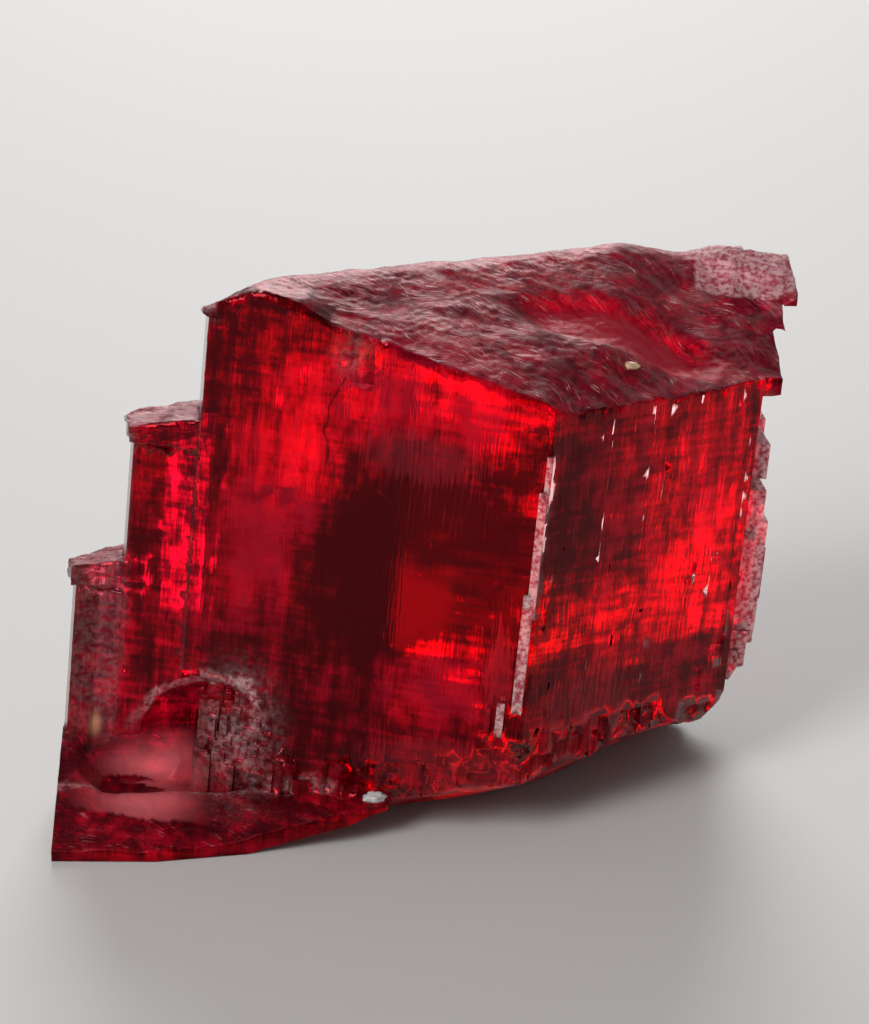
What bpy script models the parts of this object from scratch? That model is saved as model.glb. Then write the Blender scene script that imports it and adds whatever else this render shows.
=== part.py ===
"""Rough rhodonite: one broken gem crystal, a stepped row of parallel prisms that grew as one piece.

It is modelled in millimetres and scaled to metres at the end. The crystal's long axis is w, and its outlines are
drawn across it in u, to the right, and v, away from the front. x, y and z are the standing frame.
"""

import math
import random

import bmesh
import bpy
from mathutils import Matrix, Vector, noise

MM = 0.001

# The long axis leans this far to the right of upright
LEAN_DEG = 5.3

# Outlines across the long axis, as (u, v), seen from above and drawn anticlockwise from the left end
MAIN_OUTLINE = [
    (-17.3, -2.4),
    (0.6, -6.3),
    (4.0, -6.9),
    (4.7, -7.0),
    (18.3, 2.7),
    (18.9, 8.0),
    (17.0, 13.0),
    (-1.5, 16.6),
    (-17.6, 1.4),
]
SECOND_OUTLINE = [(-21.5, -1.3), (-16.6, -2.1), (-13.0, 3.4), (-18.9, 3.3), (-21.8, 1.3)]
THIRD_OUTLINE = [(-24.6, -0.8), (-21.3, -0.95), (-18.0, 2.4), (-22.9, 2.7), (-24.9, 1.2)]
LIP_OUTLINE = [(-17.6, -2.2), (-16.6, -2.25), (-16.0, 1.0), (-17.75, 1.3)]
CORE_OUTLINE = [(-18.5, 0.6), (-12.0, -1.0), (-4.0, 12.6), (-12.0, 7.4)]

# Heights along the long axis at which the two lower steps end, and the overgrown cap on each
SECOND_TOP = 25.0
THIRD_TOP = 14.6
CAP_OVERHANG = 0.4

# The end face: a slope towards the front right, and a back slope behind a slanting ridge
FRONT_SLOPE_AT = (-7.1, -3.4, 35.4)
FRONT_SLOPE_X = -0.2245
FRONT_SLOPE_Y = 0.3212
RIDGE_AT = (-0.9, 4.15)
RIDGE_ACROSS = (-0.447, 0.894)
BACK_SLOPE = 0.83
RIDGE_ROUNDING = 0.6

# The raised lump at the right end of the end face, behind a line from LUMP_FROM to LUMP_TO
LUMP_FROM = (16.0, 11.6)
LUMP_TO = (22.8, 8.6)
LUMP_RISE = 1.45

# The clear window sunk in the end face: centre, half sizes and depth
WINDOW_AT = (11.6, 2.6)
WINDOW_HALF = (6.6, 2.1)
WINDOW_DEPTH = 0.75

# The broken underside, as (x, height of its front edge) and (x, y where it comes down to the ground)
FRONT_EDGE_HEIGHT = [(-25, 0.2), (-14, 0.3), (-5.5, 2.0), (-0.3, 3.4), (7.1, 5.6), (13.4, 6.4), (17.5, 5.5), (20, 6.4)]
GROUND_LINE = [(-25, -8.6), (-14, -6.8), (-4, -1.0), (0, 0.5), (4, 1.9), (7, 3.4), (10, 6.6), (13, 10.5), (20, 18.0)]
FRONT_FACE_Y = [(-25, -8.5), (-14, -3.2), (2, -6.4), (6, -7.0), (20, 2.6)]

# The broken foot at the lower left: its front edge in plan, and the slope of its upper face
FOOT_FRONT = [(-24.7, -8.5), (-18.0, -8.6), (-12.6, -7.6), (-5.5, -6.3), (-3.0, -5.5)]
FOOT_BACK_Y = 1.0
FOOT_EDGE_HEIGHT = [(-25, 0.75), (-14, 0.8), (-5.5, 2.5), (-3, 3.0)]
FOOT_UNDERSIDE = [(-25, -1.0), (-15, -1.0), (-12, 0.45), (-5.5, 1.7), (-3, 2.4)]
FOOT_SLOPE = 0.64

# The base is cut off flat at the ground, and the solid is drawn this far below it first
GROUND_MARGIN = 1.5

GRID_STEP = 0.85
SEED = 7


def between(x, points):
    """The height at x of a line through points."""
    for (x0, y0), (x1, y1) in zip(points, points[1:]):
        if x <= x1:
            return y0 + (y1 - y0) * max(0.0, x - x0) / (x1 - x0)
    return points[-1][1]


def smooth_step(value):
    value = min(1.0, max(0.0, value))
    return value * value * (3 - 2 * value)


def rough(x, y, size, seed):
    """Smooth noise from -1 to 1 whose lumps are about size across."""
    return noise.noise(Vector((x / size, y / size, seed)))


def crystal_to_world():
    """Turns crystal coordinates (u, v, w) into the standing frame."""
    return Matrix.Rotation(math.radians(LEAN_DEG), 4, "Y")


def end_slopes(x, y):
    """The slope that faces the front, and beyond the ridge the one that falls away behind."""
    x0, y0, z0 = FRONT_SLOPE_AT
    front = z0 + FRONT_SLOPE_X * (x - x0) + FRONT_SLOPE_Y * (y - y0)
    beyond = (x - RIDGE_AT[0]) * RIDGE_ACROSS[0] + (y - RIDGE_AT[1]) * RIDGE_ACROSS[1]
    fall = 0.5 * (beyond + math.hypot(beyond, RIDGE_ROUNDING))
    return front - BACK_SLOPE * fall


def end_bends(x, y):
    """How far the end face drops at its left and right ends, and rises in a shelf at its front left."""
    left = -2.0 * smooth_step((-10.5 - x) / 4.5)
    right = -1.7 * smooth_step((x - 11) / 6)
    front_edge = 0.713 * (x - 7.4) - 7.0
    brow = -1.1 * smooth_step((x - 6.8) / 2.5) * smooth_step((16.5 - x) / 5) * smooth_step(1 - (y - front_edge) / 4.5)
    shelf = 0.8 * smooth_step((-6.6 - x) / 1.2) * smooth_step((0.2 - y) / 4)
    return left + right + brow + shelf


def lump(x, y):
    """The block that stands above the end face at its right end."""
    along = Vector((LUMP_TO[0] - LUMP_FROM[0], LUMP_TO[1] - LUMP_FROM[1])).normalized()
    beyond = -(x - LUMP_FROM[0]) * along.y + (y - LUMP_FROM[1]) * along.x
    inward = (x - LUMP_FROM[0]) * along.x + (y - LUMP_FROM[1]) * along.y
    return LUMP_RISE * smooth_step(beyond / 1.9 + 0.2) * smooth_step(inward / 5.0 + 0.2)


def terraces(x, y):
    """Low steps that climb towards the back at the right end, and fade out to the left."""
    rise = 0.0
    for line in (4.6, 6.9, 8.9):
        rise += 0.34 * smooth_step((y - line - 0.10 * (18 - x)) / 0.5)
    return (rise - 0.45) * smooth_step((x - 9) / 8)


def window(x, y):
    """The sunk window, an oval with a steep front lip."""
    across = (x - WINDOW_AT[0]) / WINDOW_HALF[0]
    deep = (y - WINDOW_AT[1] - 0.12 * (x - WINDOW_AT[0])) / WINDOW_HALF[1]
    return -WINDOW_DEPTH * smooth_step((1.15 - math.hypot(across, deep)) / 0.4)


def end_relief(x, y):
    """Long etched ridges that sweep over the end face."""
    sweep = y + 0.30 * x + 1.6 * rough(x, y, 9.0, 3.1)
    along = x - 0.30 * y
    ridges = noise.noise(Vector((along / 5.0, sweep / 1.4, 8.3)))
    swell = rough(x, y, 6.0, 5.7)
    grain = rough(x, y, 1.9, 2.2)
    return 0.30 * (0.4 - abs(ridges)) + 0.20 * swell + 0.10 * grain


def end_face(x, y):
    return end_slopes(x, y) + end_bends(x, y) + lump(x, y) + terraces(x, y) + window(x, y) + end_relief(x, y)


def underside(x, y):
    """The broken base: highest along the front edge, down to the ground behind it."""
    front = between(x, FRONT_FACE_Y)
    ground = between(x, GROUND_LINE)
    share = (ground - y) / max(1.0, ground - front)
    ledges = 0.34 * math.sin(y * 2.1 + 0.5 * x + 2.0 * rough(x, y, 5.0, 1.3))
    grain = 0.5 * rough(x, y, 2.6, 6.4)
    corner = 2.6 * smooth_step((x - 17.2) / 4.0)
    height = between(x, FRONT_EDGE_HEIGHT) * share + corner
    return max(-GROUND_MARGIN, height + (ledges + grain) * smooth_step(share * 2))


def new_object(name, bm, matrix=None):
    """A mesh object from a bmesh, moved by matrix."""
    bmesh.ops.recalc_face_normals(bm, faces=bm.faces)
    bm.transform(matrix or Matrix.Identity(4))
    mesh = bpy.data.meshes.new(name)
    bm.to_mesh(mesh)
    bm.free()
    made = bpy.data.objects.new(name, mesh)
    bpy.context.scene.collection.objects.link(made)
    return made


def prism(name, outline, low, high, matrix=None):
    """A flat outline as a filled curve, extruded from low to high and made a closed mesh."""
    curve = bpy.data.curves.new(name, "CURVE")
    curve.dimensions = "2D"
    curve.fill_mode = "BOTH"
    curve.extrude = (high - low) / 2
    line = curve.splines.new("POLY")
    line.points.add(len(outline) - 1)
    for point, (u, v) in zip(line.points, outline):
        point.co = (u, v, 0, 1)
    line.use_cyclic_u = True
    drawn = bpy.data.objects.new(name, curve)
    bpy.context.scene.collection.objects.link(drawn)
    bpy.context.view_layer.update()
    mesh = bpy.data.meshes.new_from_object(drawn.evaluated_get(bpy.context.evaluated_depsgraph_get()))
    bpy.data.objects.remove(drawn)
    bm = bmesh.new()
    bm.from_mesh(mesh)
    bpy.data.meshes.remove(mesh)
    bmesh.ops.remove_doubles(bm, verts=bm.verts, dist=0.001)
    bmesh.ops.translate(bm, verts=bm.verts, vec=(0, 0, (low + high) / 2))
    return new_object(name, bm, matrix or crystal_to_world())


def ground_block(name, x_range, y_range, bottom, top):
    """A closed block between two height fields, each a function of x and y."""
    x_cells = round((x_range[1] - x_range[0]) / GRID_STEP)
    y_cells = round((y_range[1] - y_range[0]) / GRID_STEP)
    bm = bmesh.new()
    bmesh.ops.create_grid(bm, x_segments=x_cells, y_segments=y_cells, size=0.5)
    for vertex in bm.verts:
        vertex.co.x = x_range[0] + (vertex.co.x + 0.5) * (x_range[1] - x_range[0])
        vertex.co.y = y_range[0] + (vertex.co.y + 0.5) * (y_range[1] - y_range[0])
    lower = list(bm.verts)
    made = bmesh.ops.extrude_face_region(bm, geom=list(bm.faces), use_keep_orig=True)
    upper = [item for item in made["geom"] if isinstance(item, bmesh.types.BMVert)]
    for vertex in lower:
        vertex.co.z = bottom(vertex.co.x, vertex.co.y)
    for vertex in upper:
        vertex.co.z = top(vertex.co.x, vertex.co.y)
    bmesh.ops.triangulate(bm, faces=bm.faces)
    return new_object(name, bm)


def combine(target, tool, operation):
    """Joins, cuts or intersects target with tool, and removes tool."""
    modifier = target.modifiers.new("cut", "BOOLEAN")
    modifier.operation = operation
    modifier.solver = "MANIFOLD"
    modifier.object = tool
    bpy.context.view_layer.update()
    made = bpy.data.meshes.new_from_object(target.evaluated_get(bpy.context.evaluated_depsgraph_get()))
    target.modifiers.clear()
    target.data = made
    bpy.data.objects.remove(tool)


def boxes(name, placed):
    """Boxes joined into one mesh. Each is (centre, size, rotation matrix), in crystal coordinates."""
    joined = None
    for centre, size, turn in placed:
        bm = bmesh.new()
        matrix = Matrix.Translation(centre) @ turn @ Matrix.Diagonal((*size, 1))
        bmesh.ops.create_cube(bm, size=1, matrix=matrix)
        box = new_object(name, bm, crystal_to_world())
        if joined is None:
            joined = box
        else:
            combine(joined, box, "UNION")
    return joined


def ball(name, centre, radii, turn=None, segments=26):
    """A scaled sphere, in the standing frame."""
    bm = bmesh.new()
    matrix = Matrix.Translation(centre) @ (turn or Matrix.Identity(4)) @ Matrix.Diagonal((*radii, 1))
    bmesh.ops.create_uvsphere(bm, u_segments=segments, v_segments=segments // 2, radius=1, matrix=matrix)
    return new_object(name, bm)


def rough_slab(name, outline, low, high, tilt):
    """An etched slab of overgrowth: a prism that overhangs its outline a little, with bumpy, tilted faces."""
    middle = Vector((sum(u for u, _ in outline), sum(v for _, v in outline))) / len(outline)
    wider = []
    for u, v in outline:
        away = Vector((u, v)) - middle
        wider.append(tuple(middle + away * (1 + CAP_OVERHANG / away.length)))
    slab = prism(name, wider, low, high, Matrix.Identity(4))
    bm = bmesh.new()
    bm.from_mesh(slab.data)
    bpy.data.objects.remove(slab)
    bmesh.ops.triangulate(bm, faces=bm.faces)
    bmesh.ops.subdivide_edges(bm, edges=bm.edges, cuts=3, use_grid_fill=True)
    for vertex in bm.verts:
        u, v, w = vertex.co
        upper = smooth_step((w - low) / (high - low))
        slope = tilt[0] * (u - middle.x) + tilt[1] * (v - middle.y)
        vertex.co.z += upper * (slope + 0.4 * rough(u, v, 1.5, 4.4))
        vertex.co.z += (1 - upper) * 0.45 * rough(u + v, v, 1.1, 9.2)
        vertex.co.x += 0.24 * rough(v, w, 1.2, 1.9)
        vertex.co.y += 0.24 * rough(u, w, 1.2, 7.9)
    return new_object(name, bm, crystal_to_world())


def right_edge_plates():
    """Thin plates on the right side: three under the end face, and a row of broken ones lower down."""
    placed = []
    for u_end, v_low, v_high, w_low, w_high in (
        (20.45, 8.6, 12.6, 33.8, 40.0),
        (19.85, 6.0, 10.4, 32.6, 40.0),
        (19.35, 3.0, 8.6, 29.6, 40.0),
        (19.35, 3.6, 7.2, 23.5, 25.9),
        (19.45, 3.9, 8.4, 19.6, 22.6),
        (19.85, 4.0, 8.8, 12.6, 20.4),
        (20.15, 4.7, 7.4, 14.6, 18.2),
        (19.75, 4.4, 10.2, 11.5, 15.8),
        (19.5, 4.2, 8.2, 9.7, 12.4),
        (19.1, 4.0, 7.0, 8.9, 11.0),
        (19.35, 8.2, 12.2, 3.0, 26.0),
        (19.1, 9.4, 13.2, 6.0, 31.5),
    ):
        size = (u_end - 15.0, v_high - v_low, w_high - w_low)
        centre = ((u_end + 15.0) / 2, (v_low + v_high) / 2, (w_low + w_high) / 2)
        placed.append((centre, size, Matrix.Rotation(math.radians(6 + 1.5 * (w_low % 2)), 4, "Z")))
    return boxes("right_edge_plates", placed)


def front_laths(source):
    """Growth laths on the right front face: long thin strips along the long axis, each a little proud."""
    start = Vector((4.7, -7.0, 0))
    along = Vector((18.3, 2.7, 0)) - start
    length = along.length
    along.normalize()
    outward = Vector((along.y, -along.x, 0))
    turn = Matrix.Rotation(math.atan2(along.y, along.x), 4, "Z")
    placed = []
    position = 0.5
    while position < length - 0.4:
        width = source.uniform(0.35, 1.05)
        proud = source.choice((0.03, 0.06, 0.09, 0.13, 0.18))
        low = source.choice((4.0, 4.0, source.uniform(6, 20)))
        high = source.choice((34.0, 34.0, source.uniform(14, 30)))
        if high - low > 3:
            centre = start + along * (position + width / 2) + outward * (proud / 2 - 0.4)
            centre.z = (low + high) / 2
            placed.append((centre, (width, proud + 0.8, high - low), turn))
        position += width - source.uniform(0.02, 0.12)
    return boxes("front_laths", placed)


def back_laths(source):
    """The same growth laths on the two back faces."""
    placed = []
    for (u0, v0), (u1, v1) in (((17.0, 13.0), (-1.5, 16.6)), ((-1.5, 16.6), (-17.6, 1.4))):
        start = Vector((u0, v0, 0))
        along = Vector((u1, v1, 0)) - start
        length = along.length
        along.normalize()
        outward = Vector((along.y, -along.x, 0))
        turn = Matrix.Rotation(math.atan2(along.y, along.x), 4, "Z")
        position = 0.8
        while position < length - 1.2:
            width = source.uniform(0.4, 1.7)
            proud = source.uniform(0.06, 0.42)
            low = source.uniform(-3, 9)
            high = source.uniform(21, 38)
            centre = start + along * (position + width / 2) + outward * (proud / 2 - 0.5)
            centre.z = (low + high) / 2
            placed.append((centre, (width, proud + 1.0, high - low), turn))
            position += width + source.uniform(-0.1, 0.7)
    return boxes("back_laths", placed)


def light_strip():
    """The narrow bright riser between the two front faces, in stepped lengths that shift to the left downwards."""
    placed = []
    for u, v, w_low, w_high, width in (
        (4.72, -7.06, 24.2, 28.0, 0.40),
        (4.52, -7.10, 17.0, 25.6, 0.52),
        (4.30, -7.10, 10.4, 18.6, 0.66),
        (3.30, -6.92, 8.6, 11.0, 0.50),
        (2.55, -6.76, 8.3, 10.6, 0.30),
    ):
        centre = (u, v, (w_low + w_high) / 2)
        placed.append((centre, (width, 0.8, w_high - w_low), Matrix.Rotation(math.radians(-9), 4, "Z")))
    return boxes("light_strip", placed)


def brick_steps(source):
    """The broken cleavage wall at the lower left: a stair of small upright blocks, the lower ones further forward."""
    placed = []
    for row in range(11):
        top = 10.1 - 0.66 * row
        right = -12.3 + 2.4 * smooth_step((8.9 - top) / 2.4) + 0.7 * smooth_step((5.6 - top) / 2.0)
        u = -15.75 + source.uniform(-0.1, 0.3)
        while u < right:
            width = source.uniform(0.35, 1.15)
            forward = -0.5 + 0.19 * row + source.uniform(-0.3, 0.24)
            face = -2.75 - 0.218 * (u + 15.6) - forward + 0.9
            block_top = top + source.uniform(-0.45, 0.45)
            turn = Matrix.Rotation(math.radians(source.uniform(-18, 2)), 4, "Z")
            turn @= Matrix.Rotation(math.radians(source.uniform(-3, 5)), 4, "X")
            centre = (u + width / 2, face + 1.5, (block_top + 1.0) / 2)
            placed.append((centre, (width + 0.06, 3.0, block_top - 1.0), turn))
            u += width
    return boxes("brick_steps", placed)


def brick_backing():
    """The upright cleavage slabs behind the blocks, which step back to the hollow on their left."""
    return boxes(
        "brick_backing",
        [
            ((-12.0, 0.6, 5.2), (7.2, 4.2, 11.6), Matrix.Rotation(math.radians(-12.3), 4, "Z")),
            ((-13.2, 1.5, 4.6), (7.0, 4.2, 10.4), Matrix.Rotation(math.radians(-16), 4, "Z")),
        ],
    )


def front_face_v(u):
    """How far forward the front faces are at u."""
    return between(u, [(-17.3, -2.4), (0.6, -6.3), (4.7, -7.0), (18.3, 2.7)])


def bottom_chips(source):
    """Steps broken from the lower edge of the front faces: each level down is set back a little further."""
    placed = []
    for level in range(5):
        u = -8.0 + 0.9 * level
        while u < 17.0:
            width = source.uniform(0.5, 1.9)
            middle = u + width / 2
            height = 3.6 - 0.8 * level + source.uniform(-0.45, 0.45) - 0.09 * abs(middle - 2.0)
            top = between(middle, FRONT_EDGE_HEIGHT) + height
            depth = 0.10 + 0.13 * level + source.uniform(0.0, 0.10)
            slant = -12.3 if middle < 0.6 else -9.7 if middle < 4.7 else 35.5
            turn = Matrix.Rotation(math.radians(slant + source.uniform(-7, 7)), 4, "Z")
            turn @= Matrix.Rotation(math.radians(source.uniform(-9, 9)), 4, "Y")
            centre = (middle, front_face_v(middle) - 1.5 + depth, top - (height + 3) / 2)
            if height > 0.2 and source.random() < 0.8:
                placed.append((centre, (width, 3.0, height + 3), turn))
            u += width - source.uniform(-0.2, 0.5)
    return boxes("bottom_chips", placed)


def scoops(source):
    """Shell-like fracture hollows: in the faces that were struck, and under the base. Centre and radii of each."""
    struck = [
        ((-15.5, -3.9, 4.9), (5.2, 3.7, 6.0)),
        ((-19.6, -3.2, 3.7), (4.0, 3.8, 2.4)),
        ((-5.0, -8.1, 33.0), (3.2, 4.0, 4.6)),
        ((-24.9, -3.2, 3.4), (0.7, 2.4, 1.6)),
    ]
    under = []
    for _ in range(7):
        place = (source.uniform(-18, 8), source.uniform(4, 12), -0.9)
        under.append((place, (source.uniform(1.2, 3.0), source.uniform(1.0, 2.2), 1.15)))
    return struck, under


def foot_top(x, y):
    """The upper face of the foot: a slope up from its front edge to a rim, and a rib at its left end."""
    rim = 3.1 - 0.05 * max(0.0, x + 12) - 1.0 * smooth_step((y + 4.3) / 1.2) * smooth_step((-8.0 - x) / 2)
    rim += 3.6 * smooth_step((-22.1 - x) / 1.4)
    slope = between(x, FOOT_EDGE_HEIGHT) + FOOT_SLOPE * (y - between(x, FOOT_FRONT))
    ridges = 0.10 * math.sin(y * 3.4 + 0.35 * x + 1.2 * rough(x, y, 4.0, 2.7))
    return min(rim, slope) + ridges + 0.22 * rough(x, y, 2.2, 8.8)


def foot_bottom(x, y):
    return between(x, FOOT_UNDERSIDE) + 0.12 * (y + 5)


def build_specimen():
    source = random.Random(SEED)
    crystal = prism("rhodonite_crystal", MAIN_OUTLINE, -12, 52)
    combine(crystal, right_edge_plates(), "UNION")
    combine(crystal, rough_slab("left_lip", LIP_OUTLINE, 33.7, 38.5, (0, 0)), "UNION")
    combine(crystal, light_strip(), "UNION")
    combine(crystal, front_laths(source), "UNION")
    combine(crystal, back_laths(source), "UNION")
    combine(crystal, bottom_chips(source), "DIFFERENCE")
    combine(crystal, ground_block("broken_ends", (-26, 26), (-11, 21), underside, end_face), "INTERSECT")

    combine(crystal, prism("second_step", SECOND_OUTLINE, -2, SECOND_TOP), "UNION")
    combine(crystal, prism("third_step", THIRD_OUTLINE, -2, THIRD_TOP), "UNION")
    combine(crystal, prism("core", CORE_OUTLINE, -2, 20), "UNION")
    second_cap = rough_slab("second_cap", SECOND_OUTLINE, SECOND_TOP - 0.6, SECOND_TOP + 1.0, (0.20, -0.12))
    combine(crystal, second_cap, "UNION")
    third_cap = rough_slab("third_cap", THIRD_OUTLINE, THIRD_TOP - 0.6, THIRD_TOP + 1.1, (0.26, -0.12))
    combine(crystal, third_cap, "UNION")

    struck, under = scoops(source)
    for index, (centre, radii) in enumerate(struck):
        combine(crystal, ball(f"hollow_{index}", centre, radii), "DIFFERENCE")
    combine(crystal, brick_backing(), "UNION")
    combine(crystal, brick_steps(source), "UNION")

    foot_plan = [*FOOT_FRONT, (-3.0, FOOT_BACK_Y), (-24.4, FOOT_BACK_Y)]
    foot = prism("foot", foot_plan, -3, 9, Matrix.Identity(4))
    combine(foot, ground_block("foot_faces", (-26, -1), (-10, 3), foot_bottom, foot_top), "INTERSECT")
    combine(crystal, foot, "UNION")

    below = boxes("below_ground", [((0, 0, -15), (90, 90, 30), crystal_to_world().inverted())])
    combine(crystal, below, "DIFFERENCE")
    for index, (centre, radii) in enumerate(under):
        combine(crystal, ball(f"base_pit_{index}", centre, radii, segments=12), "DIFFERENCE")
    return crystal


def loose_pieces(bm):
    """The mesh's separate pieces as lists of vertices, the largest first."""
    waiting = set(bm.verts)
    pieces = []
    while waiting:
        edge_of_piece = [waiting.pop()]
        piece = []
        while edge_of_piece:
            vertex = edge_of_piece.pop()
            piece.append(vertex)
            near = {edge.other_vert(vertex) for edge in vertex.link_edges} & waiting
            waiting -= near
            edge_of_piece.extend(near)
        pieces.append(piece)
    return sorted(pieces, key=len, reverse=True)


def tidy_mesh(crystal):
    """Drops the crumbs that the cuts set free, and the needless edges in flat faces."""
    bm = bmesh.new()
    bm.from_mesh(crystal.data)
    for crumb in loose_pieces(bm)[1:]:
        bmesh.ops.delete(bm, geom=crumb, context="VERTS")
    bmesh.ops.dissolve_limit(bm, angle_limit=math.radians(0.6), verts=bm.verts, edges=bm.edges)
    bmesh.ops.triangulate(bm, faces=bm.faces)
    bm.to_mesh(crystal.data)
    bm.free()


def finish_size(crystal):
    """Puts the origin under the middle of the mesh's box, at ground level, and turns millimetres to metres."""
    points = [vertex.co for vertex in crystal.data.vertices]
    low = Vector([min(point[axis] for point in points) for axis in range(3)])
    high = Vector([max(point[axis] for point in points) for axis in range(3)])
    moved = Matrix.Translation((-(low.x + high.x) / 2, -(low.y + high.y) / 2, -low.z))
    crystal.data.transform(Matrix.Scale(MM, 4) @ moved)


def rhodonite_material():
    material = bpy.data.materials.new("rhodonite")
    material.use_nodes = True
    shader = material.node_tree.nodes["Principled BSDF"]
    shader.inputs["Base Color"].default_value = (0.42, 0.012, 0.03, 1)
    shader.inputs["Roughness"].default_value = 0.22
    shader.inputs["IOR"].default_value = 1.73
    shader.inputs["Transmission Weight"].default_value = 0.6
    return material


def main():
    for old in list(bpy.data.objects):
        bpy.data.objects.remove(old)
    crystal = build_specimen()
    tidy_mesh(crystal)
    finish_size(crystal)
    crystal.data.materials.clear()
    crystal.data.materials.append(rhodonite_material())
    kept = bpy.data.collections.new("rough_rhodonite")
    bpy.context.scene.collection.children.link(kept)
    bpy.context.scene.collection.objects.unlink(crystal)
    kept.objects.link(crystal)


main()
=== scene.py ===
"""Looks of a rough rhodonite: one stepped, gem-clear crystal with etched ends, on a pale floor."""

import math

import bmesh
import bpy
import numpy as np
from mathutils import Euler, Matrix, Vector, noise
from mathutils.bvhtree import BVHTree


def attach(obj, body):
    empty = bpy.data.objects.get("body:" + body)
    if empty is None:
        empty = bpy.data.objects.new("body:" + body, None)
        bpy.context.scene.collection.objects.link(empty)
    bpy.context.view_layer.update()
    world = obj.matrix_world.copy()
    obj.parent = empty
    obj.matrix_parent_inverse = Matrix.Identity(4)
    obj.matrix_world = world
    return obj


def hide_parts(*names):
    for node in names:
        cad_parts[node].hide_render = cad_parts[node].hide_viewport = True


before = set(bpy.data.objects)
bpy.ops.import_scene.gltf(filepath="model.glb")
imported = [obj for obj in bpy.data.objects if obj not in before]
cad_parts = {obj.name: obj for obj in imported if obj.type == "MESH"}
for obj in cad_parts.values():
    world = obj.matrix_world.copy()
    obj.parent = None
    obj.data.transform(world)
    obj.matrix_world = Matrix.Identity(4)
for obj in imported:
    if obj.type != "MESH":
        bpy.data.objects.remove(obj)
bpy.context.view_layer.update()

# The crystal: one broken piece of gem rhodonite, a manganese silicate. Its prisms grew together side by side.
# Their sides are smooth growth and cleavage faces, finely lined along the long axis, their ends were etched
# by water until they turned matt, and the foot is broken across.
MM = 0.001
LEAN = math.radians(5.3)
LONG_AXIS = Vector((math.sin(LEAN), 0.0, math.cos(LEAN)))
# How far the part was moved, in mm, to put its origin under the middle of its box. Every place below is from
# before that move, in mm, as (x, y, z) standing or as (u, v, w) with w along the long axis.
CENTRED = Vector((0.585, -4.0, -0.064))

# The mesh, in mm: the longest edges on etched and on clear faces, and how near two points are to be one
ETCHED_EDGE = 0.36
CLEAR_EDGE = 1.1
WELD = 1e-5
LATH_WELD = 0.02
HALVINGS = 6
SMOOTHINGS = 5
FLAT_ANGLE = math.radians(0.5)
SHARP_ANGLE = math.radians(28)

# A face is etched from the first of these cosines to the long axis, and fully so from the second
ETCHED_FROM = 0.16
ETCHED_FULLY = 0.42

# The corners of the front faces on the plane (u, v), and the height w below which the foot begins
FRONT_OUTLINE = ((-17.3, -2.4), (0.6, -6.3), (4.7, -7.0), (18.3, 2.7))
FOOT_TOP = 7.5

# The laths on the right front face: their reach in u and z, how far they stand out, and how deep the notches
# at their ends go
LATHS_U = (4.9, 18.6)
LATHS_FROM_Z = 3
NOTCHES_Z = (8, 30)
LATH_HEIGHT = 0.40
LATH_FOOT_DEPTH = 0.1
NOTCH_DEPTH = 0.6

# The hollow above the foot: its reach, and the pale rough edge over it on the plane (u, w)
HOLLOW_RIGHT_X = -10.5
HOLLOW_TOP_Z = 10.5
HOLLOW_BACK_Y = 1.0
HOLLOW_RIM = ((-20.6, 4.6), (-18.8, 7.3), (-15.8, 8.9), (-13.1, 9.1), (-12.5, 7.8))

# How much the etched ridges turn across the end face
COMB_SLOPE = 0.30

# Painted glow and shade: how brightly light is painted as coming back from inside, with negative strengths
# painting shade. Ovals on the plane (u, w): centre, half size, strength and lean
GLOW_ALL_OVER = 0.36
GLOWS = (
    ((-4.0, 30.6), (8.5, 3.9), 0.62, 0.0),
    ((-12.2, 20.6), (4.0, 8.4), 0.62, 0.16),
    ((-0.9, 11.4), (4.2, 3.6), 0.66, 0.0),
    ((11.5, 21.5), (7.8, 11.0), 0.18, 0.0),
    ((-18.8, 20.0), (2.2, 4.6), -0.05, 0.0),
    ((-3.0, 19.2), (8.6, 8.0), -0.80, 0.22),
    ((-16.6, 27.0), (1.9, 12.0), -0.25, 0.0),
    ((5.6, 20.0), (3.0, 12.0), -0.22, 0.0),
    ((-11.0, 8.0), (7.0, 5.0), -0.08, 0.0),
    ((-11.0, 34.0), (5.5, 2.6), -0.08, 0.0),
)

# The fine etch along the long axis, which greys the front faces with a greyish pink painted sheen. Ovals:
# centre, half size and strength
ETCHED_SHEEN_PATCHES = (
    ((-3.2, 26.6), (6.2, 2.6), 0.85),
    ((-1.0, 24.0), (5.0, 4.2), 0.45),
    ((9.0, 8.6), (6.0, 6.2), 0.75),
    ((2.9, 12.4), (1.5, 5.6), 0.85),
    ((1.0, 5.4), (9.5, 3.1), 1.00),
    ((-13.6, 6.2), (3.8, 5.4), 0.60),
    ((11.0, 17.0), (8.0, 12.0), 0.15),
)

# The clear window in the end face, on the plane (x, y)
WINDOW_AT = (12.2, 2.6)
WINDOW_HALF = (7.0, 2.3)
WINDOW_GLOW_HALF = (7.4, 2.6)

# Cracks and cleavage planes inside. Lines on the plane (u, w): start, end, half width, how much they darken
CRACKS = (
    ((-8.6, 30.9), (-9.3, 28.9), 0.13, 0.5),
    ((-9.3, 28.9), (-9.2, 25.3), 0.13, 0.5),
    ((-2.9, 33.4), (-2.6, 27.9), 0.50, 0.40),
    ((-3.9, 20.2), (5.9, 21.3), 0.14, 0.45),
    ((14.6, 10.8), (19.0, 10.6), 0.13, 0.45),
    ((-5.8, 24.0), (-2.0, 20.6), 0.10, -0.45),
    ((-4.6, 19.8), (-2.6, 18.6), 0.10, -0.40),
)


def smooth(value):
    """0 below 0 and 1 above 1, with a soft rise between."""
    value = np.clip(value, 0.0, 1.0)
    return value * value * (3 - 2 * value)


def linear(colour):
    """A hex colour as the linear values that a shader takes."""
    parts = [int(colour[at:at + 2], 16) / 255 for at in (1, 3, 5)]
    return (*(p / 12.92 if p <= 0.04045 else ((p + 0.055) / 1.055) ** 2.4 for p in parts), 1.0)


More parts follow.
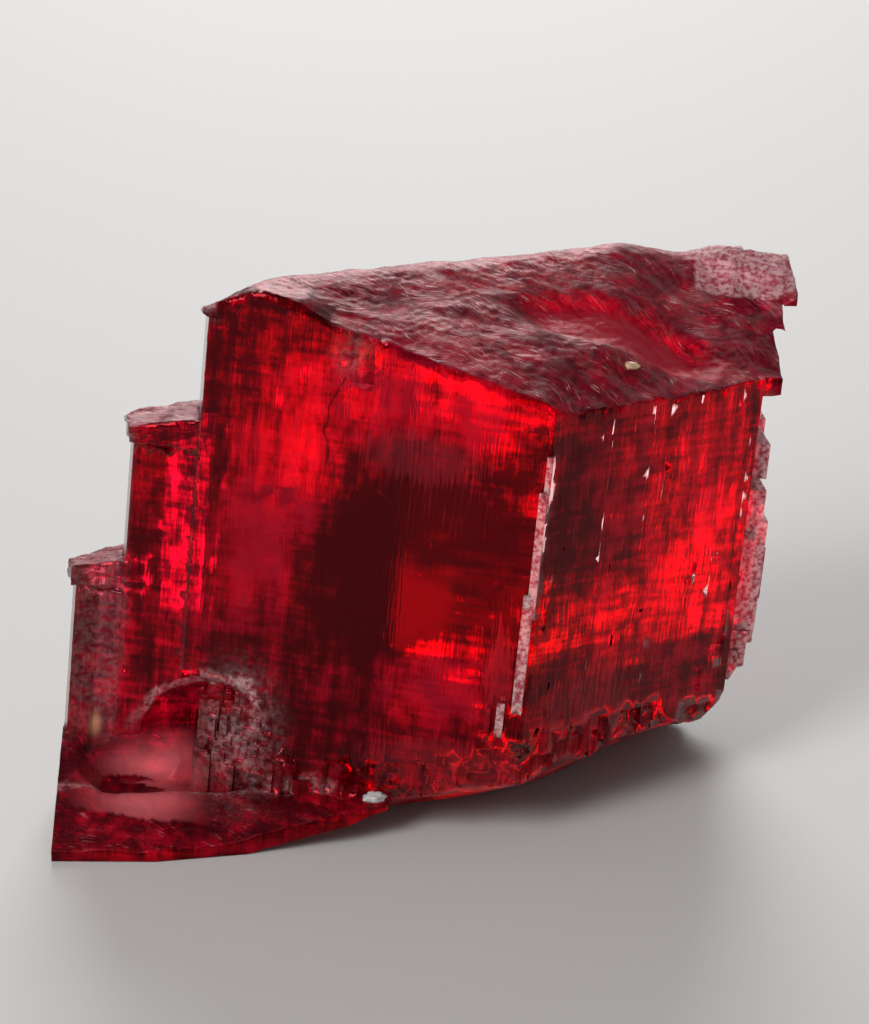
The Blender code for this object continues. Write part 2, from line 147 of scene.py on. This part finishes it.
def noise_at(*axes, seed=0.0):
    """Smooth noise from -1 to 1 at each place, given as arrays of coordinates in lumps."""
    axes = list(axes) + [np.full(len(axes[0]), seed)] * (3 - len(axes))
    return np.fromiter((noise.noise(p) for p in zip(*axes)), float, len(axes[0]))


def how_etched(cosine):
    """1 where a face lies across the long axis, and was etched or broken; 0 on the prism's own faces."""
    return smooth((np.abs(cosine) - ETCHED_FROM) / (ETCHED_FULLY - ETCHED_FROM))


def longest_wanted(edge):
    """The longest that an edge may be, in mm: short on etched faces that look up, and in the hollow."""
    across = max(abs(face.normal @ LONG_AXIS) for face in edge.link_faces)
    looks_down = min(face.normal.z for face in edge.link_faces) < -0.3
    middle = sum((vertex.co for vertex in edge.verts), Vector()) / 2 - CENTRED
    at_hollow = middle.x < HOLLOW_RIGHT_X and middle.z < HOLLOW_TOP_Z and middle.y < HOLLOW_BACK_Y
    etched = across > 0.25 and not looks_down
    return ETCHED_EDGE if etched or at_hollow else CLEAR_EDGE


def refine(bm):
    """Halves the long edges, a few times over."""
    for _ in range(HALVINGS):
        long_edges = [edge for edge in bm.edges if edge.calc_length() > longest_wanted(edge)]
        bmesh.ops.subdivide_edges(bm, edges=long_edges, cuts=1)
        many_sided = [face for face in bm.faces if len(face.verts) > 3]
        bmesh.ops.triangulate(bm, faces=many_sided, quad_method="SHORT_EDGE", ngon_method="BEAUTY")
        bm.normal_update()
        level = [edge for edge in bm.edges if edge.calc_face_angle(1.0) < FLAT_ANGLE]
        bmesh.ops.beautify_fill(bm, faces=bm.faces, edges=level, method="AREA")
        bm.normal_update()


def standing_and_crystal(mesh):
    """Each vertex's place standing (x, y, z) and along the crystal (u, v, w), in mm."""
    co = np.zeros(len(mesh.vertices) * 3)
    mesh.vertices.foreach_get("co", co)
    x, y, z = (co.reshape(-1, 3) - np.array(CENTRED)).T
    u = x * math.cos(LEAN) - z * math.sin(LEAN)
    w = x * math.sin(LEAN) + z * math.cos(LEAN)
    return x, y, z, u, y, w


def feathers(x, y):
    """Ridges that sweep over the etched end like combed feathers: coarse, fine and stepped, up to 1 high."""
    sweep = y + COMB_SLOPE * x + 1.1 * noise_at(x / 9, y / 9, seed=3.1)
    along = x - COMB_SLOPE * y
    coarse = 1 - np.abs(noise_at(along / 3.4, sweep / 0.80, seed=8.3)) * 2.2
    fine = 1 - np.abs(noise_at(along / 1.5, sweep / 0.34, seed=4.1)) * 2.2
    ledge = (sweep / 0.85 + 0.9 * noise_at(along / 2.6, sweep / 1.5, seed=1.7)) % 1.0
    return coarse, fine, ledge


bm = bmesh.new()
bm.from_mesh(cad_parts["rhodonite_crystal"].data)
bm.transform(Matrix.Scale(1 / MM, 4))
bmesh.ops.remove_doubles(bm, verts=bm.verts, dist=WELD)

# The growth laths of the right front face, and the notches at their ends, are worn level
right_face_start = Vector(FRONT_OUTLINE[2])
right_face = (Vector(FRONT_OUTLINE[3]) - right_face_start).normalized()
outward = Vector((right_face.y, -right_face.x))
outward_standing = Vector((outward.x * math.cos(LEAN), outward.y, -outward.x * math.sin(LEAN)))
worn = []
for vertex in bm.verts:
    place = vertex.co - CENTRED
    u = place.x * math.cos(LEAN) - place.z * math.sin(LEAN)
    proud = (Vector((u, place.y)) - right_face_start) @ outward
    depth = NOTCH_DEPTH if NOTCHES_Z[0] < place.z < NOTCHES_Z[1] else LATH_FOOT_DEPTH
    on_face = LATHS_U[0] < u < LATHS_U[1] and place.z > LATHS_FROM_Z
    if on_face and -depth < proud < LATH_HEIGHT:
        vertex.co -= proud * outward_standing
        worn.append(vertex)
bmesh.ops.remove_doubles(bm, verts=worn, dist=LATH_WELD)
bm.normal_update()
refine(bm)

# The solid's facets are smoothed away inside the etched faces
inside = [
    vertex for vertex in bm.verts
    if min(abs(face.normal @ LONG_AXIS) for face in vertex.link_faces) > 0.30
]
for _ in range(SMOOTHINGS):
    bmesh.ops.smooth_vert(bm, verts=inside, factor=0.5, use_axis_x=True, use_axis_y=True, use_axis_z=True)
bm.normal_update()
etched_at_vertex = np.array([
    how_etched(max(abs(face.normal @ LONG_AXIS) for face in vertex.link_faces)) for vertex in bm.verts
])

mesh = bpy.data.meshes.new("rhodonite_crystal_surface")
bm.to_mesh(mesh)
bm.free()

# The etch's relief, in mm, raised along the long axis
x, y, z, u, v, w = standing_and_crystal(mesh)
coarse, fine, ledge = feathers(x, y)
relief = 0.085 * coarse + 0.05 * fine + 0.07 * ledge - 0.10
grain = noise_at(x / 0.5, y / 0.5, z / 0.5)
on_foot = smooth((FOOT_TOP - w) / 2.0)
relief = relief * (1 - on_foot) + (0.05 * grain - 0.02) * on_foot
raise_by = (relief + 0.012 * grain) * etched_at_vertex
co = np.zeros(len(mesh.vertices) * 3)
mesh.vertices.foreach_get("co", co)
co = co.reshape(-1, 3) + np.outer(raise_by, np.array(LONG_AXIS))
co[:, 2] = np.maximum(co[:, 2], 0.0)
mesh.vertices.foreach_set("co", (co * MM).astype(np.float32).ravel())
mesh.update()


def spot(p, q, centre, half, turn=0.0):
    """1 in the middle of an oval on the two coordinates p and q, 0 outside, soft between."""
    dp = p - centre[0] - turn * (q - centre[1])
    return smooth(1.25 - np.hypot(dp / half[0], (q - centre[1]) / half[1]))


def off_line(p, q, line):
    """How far each place is from a line through points, on the two coordinates p and q."""
    nearest = np.full(len(p), 1e9)
    for start, end in zip(line, line[1:]):
        run = np.subtract(end, start)
        reach = np.clip(((p - start[0]) * run[0] + (q - start[1]) * run[1]) / (run @ run), 0, 1)
        away = np.hypot(p - start[0] - reach * run[0], q - start[1] - reach * run[1])
        nearest = np.minimum(nearest, away)
    return nearest


# The ovals of painted glow and shade are drawn through the whole crystal, so that the glow shows from the
# front and the back
glow = np.full(len(x), GLOW_ALL_OVER)
for centre, half, strength, turn in GLOWS:
    glow += strength * spot(u, w, centre, half, turn)
# A painted glow in the clear window
glow += 0.85 * spot(x, y, WINDOW_AT, WINDOW_GLOW_HALF) * smooth((z - 28) / 2)

front_v = np.interp(u, *zip(*FRONT_OUTLINE))
near_front = smooth((front_v + 1.2 - v) / 0.8)

# The painted sheen over the etched patches, on the front faces only
etch_sheen = np.zeros(len(x))
for centre, half, strength in ETCHED_SHEEN_PATCHES:
    etch_sheen = np.maximum(etch_sheen, strength * spot(u, w, centre, half))
etch_sheen *= near_front

# How matt the end faces are: the brow at the left is clearer, and so are the window and the foot
window = spot(x, y, WINDOW_AT, WINDOW_HALF)
brow = smooth((-4.0 - x) / 3.5) * smooth((0.5 - y) / 3.0) * smooth((w - 28) / 2)
frost = (0.75 - 0.55 * brow) * (1 - 0.75 * window)
frost = np.where(w < FOOT_TOP, 0.28, frost)

# Where the crystal is thinnest and whitish, and painted highlights where the raised strip and the blocks
# catch the light
thin_and_highlight = np.maximum.reduce([
    # The lip over the left edge, the plates on the right edge, the raised strip in front, which is a painted
    # highlight, and the far corner
    1.0 * ((u < -16.9) & (w > 34.0)),
    1.0 * ((u > 18.6) & (w < 27.0) & (v < 9)),
    1.0 * ((v < -7.2) & (w > FOOT_TOP)),
    0.8 * ((x > 17.2) & (y > 9.3) & (z > 30.0)),
    # The left edge of the third prism
    0.22 * smooth((-21.2 - u) / 0.5) * smooth((w - 2) / 3),
    # The blocks beside the hollow with painted glints, the rim of the foot, the rim over the hollow and a
    # chip at the upper left
    0.60 * smooth(0.8 + grain) * spot(u, w, (-13.6, 6.0), (3.4, 5.0)) * near_front,
    0.55 * smooth(1 - np.abs(y + 4.3 + 0.3 * grain) / 0.35) * (z < 4) * (x < -6),
    0.85 * smooth((0.42 + 0.16 * grain - off_line(u, w, HOLLOW_RIM)) / 0.16) * near_front,
    0.35 * smooth(1.0 + grain) * spot(u, w, (-8.2, 32.6), (1.3, 1.8)) * near_front,
])

# The painted salmon glow in the hollow, and the pale yellow stain on the third prism
hollow_glow = 0.85 * spot(x, z, (-18.8, 3.5), (4.6, 2.5)) * (y < 1.0) * (w > 0.4)
stain = spot(u, w, (-22.75, 4.1), (0.45, 0.9)) * smooth((v + 3) / 2)

# Painted whitish highlights on the crests of the etched ridges
crest_glint = smooth((coarse - 0.62) / 0.3) * smooth(0.5 + 1.6 * noise_at(x / 1.3, y / 0.7, seed=6.6))
fine_crest_glint = smooth((fine - 0.70) / 0.25) * smooth(0.25 + 1.8 * noise_at(x / 1.0, y / 0.8, seed=9.4))
crest_glint = np.maximum(crest_glint, fine_crest_glint) * smooth((w - 9) / 2) * (1 - 0.7 * window)

at_vertices = {"glow": glow, "etch_sheen": etch_sheen, "thin_and_highlight": thin_and_highlight, "stain": stain, "hollow_glow": hollow_glow}
for name, values in at_vertices.items():
    attribute = mesh.attributes.new(name, "FLOAT", "POINT")
    attribute.data.foreach_set("value", values.astype(np.float32))

# Matt and clear faces meet sharply, so these are kept at each face's own corners
normals = np.zeros(len(mesh.polygons) * 3)
mesh.polygons.foreach_get("normal", normals)
face_etched = how_etched(normals.reshape(-1, 3) @ np.array(LONG_AXIS))
corner_vertex = np.zeros(len(mesh.loops), dtype=np.int32)
mesh.loops.foreach_get("vertex_index", corner_vertex)
etched_at_corner = np.repeat(face_etched, 3)
at_corners = {"etched": 1.0, "frost": frost[corner_vertex], "crest_glint": crest_glint[corner_vertex]}
for name, values in at_corners.items():
    attribute = mesh.attributes.new(name, "FLOAT", "CORNER")
    attribute.data.foreach_set("value", (values * etched_at_corner).astype(np.float32))

mesh.polygons.foreach_set("use_smooth", np.ones(len(mesh.polygons), dtype=bool))
mesh.set_sharp_from_angle(angle=SHARP_ANGLE)
crystal = bpy.data.objects.new("rhodonite_crystal_etched", mesh)
bpy.context.scene.collection.objects.link(crystal)


def add(tree, kind, settings=None, links=None, output=0):
    """Adds a node with its settings, links or sets its inputs by name or number, and gives one output."""
    made = tree.nodes.new(kind)
    for name, value in (settings or {}).items():
        setattr(made, name, value)
    for key, value in (links or {}).items():
        named = [s for s in made.inputs if s.enabled and s.name == key]
        socket = named[0] if named else made.inputs[key]
        if isinstance(value, bpy.types.NodeSocket):
            tree.links.new(value, socket)
        else:
            socket.default_value = value
    if isinstance(output, str):
        return made.outputs[output]
    shown = [s for s in made.outputs if s.enabled]
    return shown[output] if shown else None


# The kinds of node that are used again and again, and their settings
MATH = "ShaderNodeMath"
VECTOR_MATH = "ShaderNodeVectorMath"
NOISE = "ShaderNodeTexNoise"
RANGE = "ShaderNodeMapRange"
MIX = "ShaderNodeMix"
TIMES = {"operation": "MULTIPLY"}
TIMES_PLUS = {"operation": "MULTIPLY_ADD"}
SOFT = {"interpolation_type": "SMOOTHSTEP"}
COLOURS = {"data_type": "RGBA"}

# The crystal's red with painted shade and glow, by how brightly light comes back from inside
PAINTED_GLOW_STOPS = ((0.08, "#1C0007"), (0.30, "#6E0214"), (0.50, "#B80322"), (0.74, "#F50538"), (0.95, "#FF1C48"))


def gem_rhodonite():
    """Gem-clear manganese silicate: red light comes through it, and it is matt pink where etched or thinnest.
    Its colour also carries painted glow and shade inside, a painted sheen and painted highlights.
    """
    material = bpy.data.materials.new("gem_rhodonite")
    material.use_nodes = True
    tree = material.node_tree
    tree.nodes.clear()

    place = add(tree, "ShaderNodeTexCoord", output="Object")
    turn = Euler((0, -LEAN, 0))
    along = add(tree, "ShaderNodeMapping", links={
        "Vector": place,
        "Location": -(turn.to_matrix() @ CENTRED),
        "Rotation": turn,
        "Scale": (1 / MM,) * 3,
    })

    def pattern(size, detail, roughness):
        """Noise with lumps of this size in mm across u, v and w."""
        stretched = add(tree, VECTOR_MATH, {"operation": "DIVIDE"}, {0: along, 1: size})
        return add(tree, NOISE, links={
            "Vector": stretched, "Scale": 1.0, "Detail": detail, "Roughness": roughness,
        }, output="Fac")

    glow_here, etch_sheen_here, thin_and_highlight_here, stain_here, hollow_glow_here, crest_glint_here, frost_here, etched_here = (
        add(tree, "ShaderNodeAttribute", {"attribute_name": name}, output="Fac")
        for name in ("glow", "etch_sheen", "thin_and_highlight", "stain", "hollow_glow", "crest_glint", "frost", "etched")
    )

    # Veils cloud the inside. Growth bands run across the axis, columns and etched streaks along it. All break
    # up the painted glow and shade.
    veils = pattern((1.7, 1.7, 2.1), 3.0, 0.66)
    bands = pattern((5.0, 5.0, 0.38), 1.0, 0.6)
    columns = pattern((0.8, 0.8, 13.0), 1.0, 0.6)
    streaks = pattern((0.13, 0.13, 2.6), 1.0, 0.7)
    brightness = glow_here
    for cloud, contrast in ((veils, 1.90), (bands, 0.80), (columns, 0.70), (streaks, 0.80)):
        lowered = add(tree, MATH, {"operation": "SUBTRACT"}, {0: brightness, 1: contrast / 2})
        brightness = add(tree, MATH, TIMES_PLUS, {0: cloud, 1: contrast, 2: lowered})

    # Each crack darkens what is near its line, which wobbles a little
    wobble = pattern((1.2, 1.2, 1.2), 0.0, 0.5)
    wobble = add(tree, VECTOR_MATH, TIMES_PLUS, {0: wobble, 1: (0.9, 0.0, 0.9), 2: (-0.45, 0.0, -0.45)})
    flat = add(tree, VECTOR_MATH, TIMES_PLUS, {0: along, 1: (1, 0, 1), 2: wobble})
    for start, end, half_width, darkens in CRACKS:
        run = Vector((end[0] - start[0], 0, end[1] - start[1]))
        offset = add(tree, VECTOR_MATH, {"operation": "SUBTRACT"}, {0: flat, 1: (start[0], 0, start[1])})
        reach = add(tree, VECTOR_MATH, {"operation": "DOT_PRODUCT"}, {
            0: offset, 1: run / run.length_squared,
        }, output="Value")
        reach = add(tree, "ShaderNodeClamp", links={"Value": reach})
        nearest = add(tree, VECTOR_MATH, {"operation": "SCALE"}, {0: run, "Scale": reach})
        away = add(tree, VECTOR_MATH, {"operation": "DISTANCE"}, {0: offset, 1: nearest}, output="Value")
        dark = add(tree, RANGE, SOFT, {
            "Value": away, "From Max": half_width, "To Min": darkens, "To Max": 0.0,
        })
        brightness = add(tree, MATH, {"operation": "SUBTRACT"}, {0: brightness, 1: dark})

    # Painted shade and glow: from nearly black where little light comes back to bright crimson where much
    # does
    body = add(tree, "ShaderNodeValToRGB", links={"Fac": brightness}, output="Color")
    stops = body.node.color_ramp.elements
    for _ in PAINTED_GLOW_STOPS[2:]:
        stops.new(0.5)
    for stop, (at, colour) in zip(stops, PAINTED_GLOW_STOPS):
        stop.position = at
        stop.color = linear(colour)

    # Etched streaks lie on the faces, under a greyish pink painted sheen
    streaked = add(tree, MATH, {"operation": "ADD"}, {0: etch_sheen_here, 1: streaks})
    streaked = add(tree, RANGE, SOFT, {"Value": streaked, "From Min": 0.95, "From Max": 1.30})
    share = add(tree, MATH, TIMES, {0: streaked, 1: 0.55})
    colour = add(tree, MIX, COLOURS, {"Factor": share, "A": body, "B": linear("#8A4456")})

    # The etch left fine combed ridges across the ends; their crests get painted whitish highlights where the
    # veils are dense
    standing = add(tree, "ShaderNodeMapping", links={
        "Vector": place,
        "Rotation": (0, 0, math.atan(COMB_SLOPE)),
        "Scale": (1 / MM,) * 3,
    })
    wander = add(tree, NOISE, links={"Vector": standing, "Scale": 0.3, "Detail": 0.0}, output="Fac")
    wander = add(tree, VECTOR_MATH, TIMES_PLUS, {0: wander, 1: (0, 2.4, 0), 2: standing})
    combed = add(tree, VECTOR_MATH, {"operation": "DIVIDE"}, {0: wander, 1: (1.5, 0.14, 4.0)})
    combed = add(tree, NOISE, links={
        "Vector": combed, "Scale": 1.0, "Detail": 2.0, "Roughness": 0.7,
    }, output="Fac")
    speckle = pattern((0.35, 0.35, 0.35), 1.0, 0.75)
    speckled = add(tree, RANGE, SOFT, {"Value": speckle, "From Min": 0.3, "From Max": 0.7})
    pink = add(tree, MIX, COLOURS, {"Factor": speckled, "A": linear("#4C0218"), "B": linear("#96163A")})
    share = add(tree, MATH, TIMES, {0: frost_here, 1: 0.85})
    colour = add(tree, MIX, COLOURS, {"Factor": share, "A": colour, "B": pink})
    crest_highlights = add(tree, RANGE, SOFT, {"Value": combed, "From Min": 0.60, "From Max": 0.65})
    dense = add(tree, RANGE, SOFT, {"Value": veils, "From Min": 0.50, "From Max": 0.60, "To Min": 0.10})
    share = add(tree, MATH, TIMES, {0: frost_here, 1: 1.1})
    crest_highlights = add(tree, MATH, TIMES, {0: crest_highlights, 1: share})
    crest_highlights = add(tree, MATH, TIMES, {0: crest_highlights, 1: dense})
    colour = add(tree, MIX, COLOURS, {"Factor": crest_highlights, "A": colour, "B": linear("#F6E4E0")})
    # A faint painted highlight along the ridge crests as well
    share = add(tree, MATH, TIMES, {0: crest_glint_here, 1: 0.10})
    colour = add(tree, MIX, COLOURS, {"Factor": share, "A": colour, "B": linear("#F3DCD6")})

    # Thinner parts are whitish pink and the raised strip and blocks carry painted highlights, the hollow has
    # a painted salmon glow, and a stain is pale yellow
    whitish = add(tree, MIX, COLOURS, {"Factor": speckled, "A": linear("#A84658"), "B": linear("#F0D4D2")})
    colour = add(tree, MIX, COLOURS, {"Factor": hollow_glow_here, "A": colour, "B": linear("#FF8088")})
    colour = add(tree, MIX, COLOURS, {"Factor": thin_and_highlight_here, "A": colour, "B": whitish})
    colour = add(tree, MIX, COLOURS, {"Factor": stain_here, "A": colour, "B": linear("#E8C890")})

    # What is matt or thin lets less light through
    cloudy = add(tree, MATH, {"operation": "MAXIMUM"}, {0: thin_and_highlight_here, 1: hollow_glow_here})
    cloudy = add(tree, MATH, {"operation": "MAXIMUM"}, {0: frost_here, 1: cloudy})
    clearness = add(tree, MATH, TIMES_PLUS, {0: cloudy, 1: -0.5, 2: 0.78})
    roughness = add(tree, MATH, TIMES_PLUS, {0: etched_here, 1: 0.30, 2: 0.07})
    roughness = add(tree, MATH, TIMES_PLUS, {0: streaked, 1: 0.20, 2: roughness})
    roughness = add(tree, MATH, TIMES_PLUS, {0: thin_and_highlight_here, 1: 0.22, 2: roughness})

    # Fine lines on the prism faces, combed ridges on the ends
    lines = add(tree, MATH, TIMES_PLUS, {0: etch_sheen_here, 1: 0.8, 2: 0.25})
    lines = add(tree, MATH, TIMES, {0: streaks, 1: lines})
    share = add(tree, MATH, TIMES, {0: frost_here, 1: 2.2})
    height = add(tree, MATH, TIMES_PLUS, {0: combed, 1: share, 2: lines})
    bump = add(tree, "ShaderNodeBump", links={"Strength": 0.8, "Distance": 0.06 * MM, "Height": height})

    shader = add(tree, "ShaderNodeBsdfPrincipled", links={
        "Base Color": colour,
        "Roughness": roughness,
        "Normal": bump,
        "IOR": 1.73,
        "Transmission Weight": clearness,
        "Specular Tint": linear("#FF4A56"),
    })
    absorbed = add(tree, "ShaderNodeVolumeAbsorption", links={"Color": linear("#FB00A0"), "Density": 265.0})
    add(tree, "ShaderNodeOutputMaterial", links={"Surface": shader, "Volume": absorbed})
    return material


mesh.materials.append(gem_rhodonite())
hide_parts("rhodonite_crystal")
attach(crystal, "root")

# The white grain: a crumb of clear to white quartz about 1.5 mm across, grown on the broken lower edge of
# the front face. Its faces are small, uneven and glassy.
GRAIN_AT = (-3.9, 2.9)
GRAIN_SIZE = (1.5, 0.8, 0.75)

# The specks sit on what carries them, found by a line drawn into the crystal
crystal_tree = BVHTree.FromPolygons(
    [vertex.co.copy() for vertex in mesh.vertices],
    [face.vertices[:] for face in mesh.polygons],
)


def crumb(name, centre, size, seed):
    """A small broken grain, with sizes in mm: a ball whose skin is cut by flat noise into uneven faces."""
    bm = bmesh.new()
    bmesh.ops.create_icosphere(bm, subdivisions=4, radius=0.5)
    for vertex in bm.verts:
        lumps = noise.noise(vertex.co * 2.6 + Vector((seed, 0, 0)))
        steps = noise.cell(vertex.co * 3.4 + Vector((0, seed, 0)))
        vertex.co *= 1 + 0.34 * lumps + 0.10 * steps
        vertex.co = Vector(s * c for s, c in zip(size, vertex.co)) * MM + centre
    mesh = bpy.data.meshes.new(name)
    bm.to_mesh(mesh)
    bm.free()
    mesh.polygons.foreach_set("use_smooth", np.ones(len(mesh.polygons), dtype=bool))
    mesh.set_sharp_from_angle(angle=SHARP_ANGLE)
    made = bpy.data.objects.new(name, mesh)
    bpy.context.scene.collection.objects.link(made)
    return made


def speck_stone(name, dark, light, size, transmission):
    """Granular mineral with grains of this size in mm: it looks uneven in tone and a little rough."""
    material = bpy.data.materials.new(name)
    material.use_nodes = True
    tree = material.node_tree
    place = add(tree, "ShaderNodeTexCoord", output="Object")
    tone = add(tree, NOISE, links={"Vector": place, "Scale": 1 / (size * MM), "Detail": 4.0}, output="Fac")
    shader = tree.nodes["Principled BSDF"]
    colour = add(tree, MIX, COLOURS, {"Factor": tone, "A": linear(dark), "B": linear(light)})
    bump = add(tree, "ShaderNodeBump", links={"Strength": 0.5, "Distance": 0.05 * MM, "Height": tone})
    tree.links.new(colour, shader.inputs["Base Color"])
    tree.links.new(bump, shader.inputs["Normal"])
    shader.inputs["Roughness"].default_value = 0.35
    shader.inputs["IOR"].default_value = 1.54
    shader.inputs["Transmission Weight"].default_value = transmission
    return material


def surface_point(start, direction):
    """Where a line from start, in mm, meets the crystal, in metres."""
    return crystal_tree.ray_cast((Vector(start) + CENTRED) * MM, Vector(direction))[0]


grain_centre = surface_point((GRAIN_AT[0], -40, GRAIN_AT[1]), (0, 1, 0))
white_grain = crumb("white_grain", grain_centre, GRAIN_SIZE, 3.7)
white_grain.data.materials.append(speck_stone("white_quartz", "#C9BDB8", "#FFFFFF", 0.3, 0.3))
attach(white_grain, "root")

# The tan speck: a weathered bit of the manganese ore around the crystal, about 1 mm across, stuck to the
# etched end. It is opaque, dull and ochre.
SPECK_AT = (12.4, -0.7)
SPECK_SIZE = (1.1, 0.7, 0.45)

speck_centre = surface_point((*SPECK_AT, 80), (0, 0, -1))
tan_speck = crumb("tan_speck", speck_centre, SPECK_SIZE, 8.1)
tan_speck.data.materials.append(speck_stone("weathered_manganese_ore", "#9A6A48", "#E8C8A0", 0.25, 0.0))
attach(tan_speck, "root")

# The floor: a sheet of matt, warm white card under the crystal, wide enough to fill the view from any side.
# It is rolled and pressed paper board, so its tone is faintly uneven and it has no shine.
FLOOR_SIDE = 4.0
FLOOR_DROP = 0.00005
CLOUDS_PER_METRE = 9.0


def white_card():
    """Pressed paper board: it looks plain, pale and matt, with a faint uneven tone."""
    material = bpy.data.materials.new("white_card")
    material.use_nodes = True
    tree = material.node_tree
    shader = tree.nodes["Principled BSDF"]
    place = add(tree, "ShaderNodeTexCoord", output="Object")
    tone = add(tree, NOISE, links={"Vector": place, "Scale": CLOUDS_PER_METRE, "Detail": 0.0}, output="Fac")
    colour = add(tree, MIX, COLOURS, {"Factor": tone, "A": linear("#D8D6D3"), "B": linear("#DEDCD9")})
    tree.links.new(colour, shader.inputs["Base Color"])
    shader.inputs["Roughness"].default_value = 0.6
    return material


bm = bmesh.new()
bmesh.ops.create_grid(bm, x_segments=8, y_segments=8, size=FLOOR_SIDE / 2)
floor_mesh = bpy.data.meshes.new("floor")
bm.to_mesh(floor_mesh)
bm.free()
floor_mesh.materials.append(white_card())
floor = bpy.data.objects.new("floor", floor_mesh)
floor.location.z = -FLOOR_DROP
bpy.context.scene.collection.objects.link(floor)


# The light: a soft box behind skims the etched end, and another shines from the left of the camera. Two lie
# on the floor behind and to the right, hidden from the camera itself, and glow through the crystal.
UP = (0.0, 0.0, 1.0)


def soft_box(name, direction, distance, side, power, aim=(0, 0, 0.02)):
    """A square light in this direction from its aim, in metres. At distance 0 it shines that way."""
    light = bpy.data.lights.new(name, "AREA")
    light.shape = "SQUARE"
    light.size = side
    light.energy = power
    made = bpy.data.objects.new(name, light)
    made.location = Vector(aim) + Vector(direction).normalized() * distance
    facing = Vector(direction) if distance == 0.0 else -Vector(direction)
    made.rotation_euler = facing.to_track_quat("-Z", "Y").to_euler()
    made.visible_camera = False
    bpy.context.scene.collection.objects.link(made)


soft_box("back_light", (0.0, 0.88, 0.48), 0.60, 0.30, 1.9)
soft_box("key_light", (-0.50, -0.62, 0.60), 0.60, 0.26, 1.9)
soft_box("low_light_behind", UP, 0.0, 0.07, 0.075, aim=(0.02, 0.06, 0.002))
soft_box("low_light_right", UP, 0.0, 0.11, 0.25, aim=(0.095, 0.058, 0.002))

room = bpy.data.worlds.new("room")
bpy.context.scene.world = room
room.use_nodes = True
background = room.node_tree.nodes["Background"]
background.inputs["Color"].default_value = linear("#E8E8EA")
background.inputs["Strength"].default_value = 0.30

# The camera: a long lens at the photograph's angle, 22 degrees above the floor and square to the front. Its
# aim and its distance are in mm.
CAMERA_AIM = Vector((0.0, 0.0, 20.9))
CAMERA_RISE = math.radians(22)
CAMERA_DISTANCE = 258.0

camera_data = bpy.data.cameras.new("camera")
camera_data.lens = 140.625
camera_data.sensor_width = 36.0
camera_data.clip_start = 0.01
camera_data.clip_end = 20.0
camera = bpy.data.objects.new("camera", camera_data)
back = Vector((0, -math.cos(CAMERA_RISE), math.sin(CAMERA_RISE)))
camera.location = (CAMERA_AIM + CENTRED + back * CAMERA_DISTANCE) * MM
camera.rotation_euler = (-back).to_track_quat("-Z", "Y").to_euler()
bpy.context.scene.collection.objects.link(camera)
bpy.context.scene.camera = camera
bpy.context.scene.view_settings.view_transform = "Standard"

# Light that has met this many faces is too weak to see
cycles = bpy.context.scene.cycles
cycles.max_bounces = 4
cycles.transmission_bounces = 4
cycles.diffuse_bounces = 1
cycles.glossy_bounces = 2
